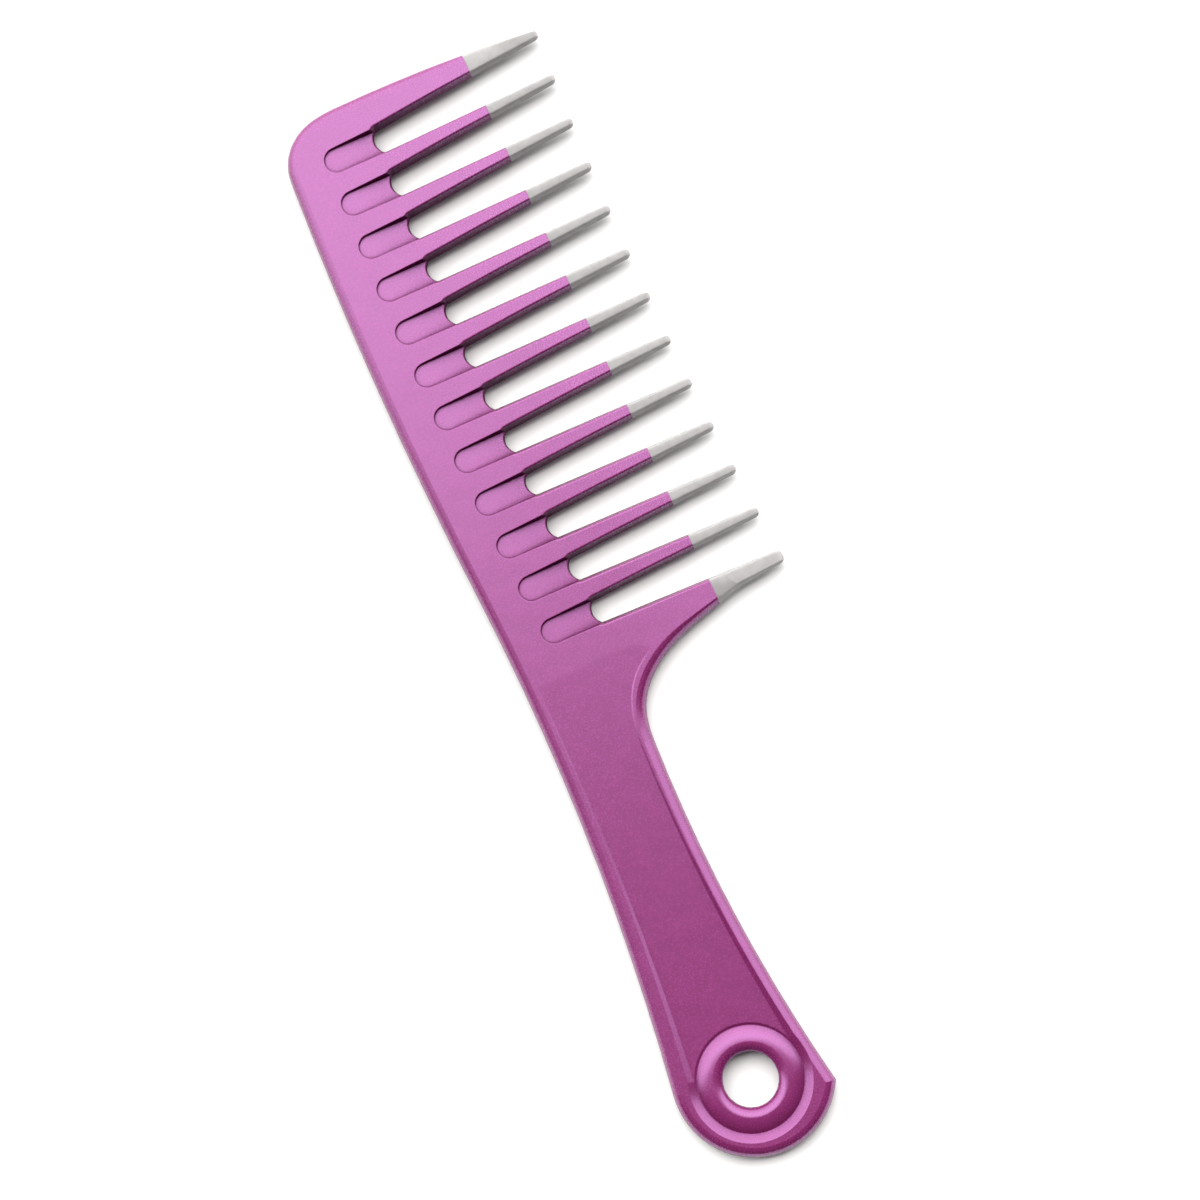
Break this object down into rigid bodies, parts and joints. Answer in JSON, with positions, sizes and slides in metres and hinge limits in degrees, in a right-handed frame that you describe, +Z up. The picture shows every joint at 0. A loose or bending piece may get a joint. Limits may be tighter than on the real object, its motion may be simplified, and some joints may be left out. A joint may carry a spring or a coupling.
{
  "type": "wide tooth comb",
  "caption": "Flat handled hair comb with widely spaced tapered teeth, pale tips, finger pads at the roots and a ringed hanging hole.",
  "frame": {"origin": "centre of the bounding box, on the surface that the comb lies on", "axes": "+X from the head along the spine to the handle's end, +Y towards the tips of the teeth, +Z up out of the flat face"},
  "size_m": [0.24, 0.0689, 0.005],
  "materials": {
    "pearl_plastic": "satin pearl, purple to magenta, with fine metallic flake",
    "tip_plastic": "satin, pale grey-white, slightly translucent"
  },
  "bodies": {
    "root": {"comb_body": "pearl_plastic", "tooth_tip_01": "tip_plastic", "tooth_tip_02": "tip_plastic", "tooth_tip_03": "tip_plastic", "tooth_tip_04": "tip_plastic", "tooth_tip_05": "tip_plastic", "tooth_tip_06": "tip_plastic", "tooth_tip_07": "tip_plastic", "tooth_tip_08": "tip_plastic", "tooth_tip_09": "tip_plastic", "tooth_tip_10": "tip_plastic", "tooth_tip_11": "tip_plastic", "tooth_tip_12": "tip_plastic", "tooth_tip_13": "tip_plastic"}
  },
  "joints": []
}
